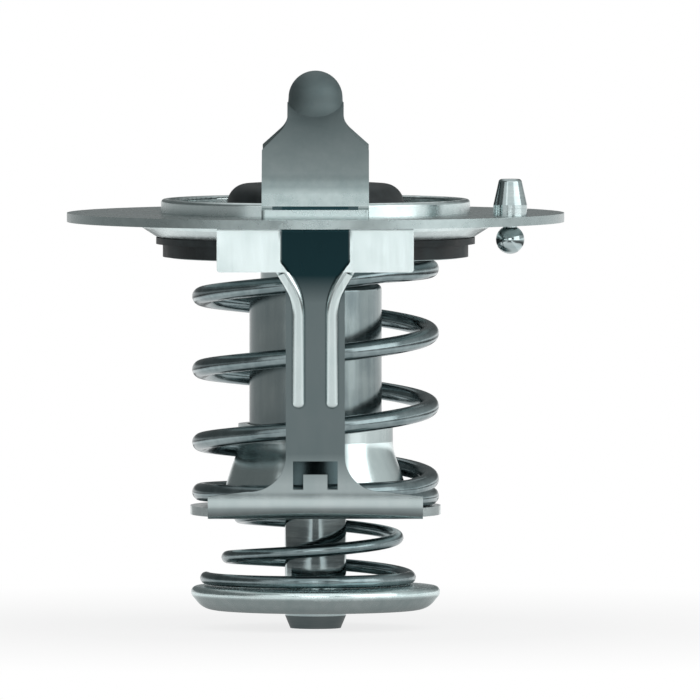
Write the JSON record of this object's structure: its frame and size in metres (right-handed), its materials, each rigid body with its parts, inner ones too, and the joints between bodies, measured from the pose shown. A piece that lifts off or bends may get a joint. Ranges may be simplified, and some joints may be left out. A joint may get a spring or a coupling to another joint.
{
  "type": "engine thermostat insert",
  "caption": "Engine thermostat insert with a round flange, a pressed bridge over the valve, a framed spring with a wax element, and a sprung bypass disc below.",
  "frame": {"origin": "on the axis of the round flange, at the flange's lower face", "axes": "+Z along the axis, towards the bridge's dome; the bridge and the legs stand in the plane x = 0, one leg towards -Y, which is the front, and one towards +Y"},
  "size_m": [0.056, 0.056, 0.0628],
  "materials": {
    "sheet_steel": "satin, lightly brushed",
    "turned_steel": "satin, turned",
    "spring_steel": "satin, drawn wire",
    "case_steel": "satin, deep drawn",
    "black_rubber": "matt",
    "wax": "matt",
    "hard_washer": "matt"
  },
  "bodies": {
    "frame": {"flange": "sheet_steel", "seat_ring": "sheet_steel", "bridge": "sheet_steel", "lower_frame": "sheet_steel", "piston": "turned_steel", "main_spring": "spring_steel"},
    "element": {"element_case": "case_steel", "wax_charge": "wax", "diaphragm": "black_rubber", "rubber_plug": "black_rubber", "plug_washer": "hard_washer", "piston_guide": "turned_steel", "guide_wiper": "black_rubber", "valve_plate": "sheet_steel", "valve_cover": "black_rubber", "hat_retainer": "turned_steel", "bypass_stem": "turned_steel", "stem_ring": "spring_steel", "bypass_spring": "spring_steel"},
    "bypass": {"bypass_disc": "sheet_steel"},
    "jiggle": {"jiggle_pin": "turned_steel", "jiggle_ball": "turned_steel"}
  },
  "joints": [
    {"name": "element_slide", "type": "slide", "parent": "frame", "child": "element", "axis": [0, 0, -1], "range_m": [0, 0.008], "stiffness_N_per_m": 3100, "springref_m": -0.02, "deforming": ["main_spring"]},
    {"name": "bypass_slide", "type": "slide", "parent": "element", "child": "bypass", "axis": [0, 0, 1], "range_m": [0, 0.004], "stiffness_N_per_m": 2700, "springref_m": -0.004, "deforming": ["bypass_spring"]},
    {"name": "jiggle_slide", "type": "slide", "parent": "frame", "child": "jiggle", "axis": [0, 0, 1], "range_m": [0, 0.0005]}
  ]
}
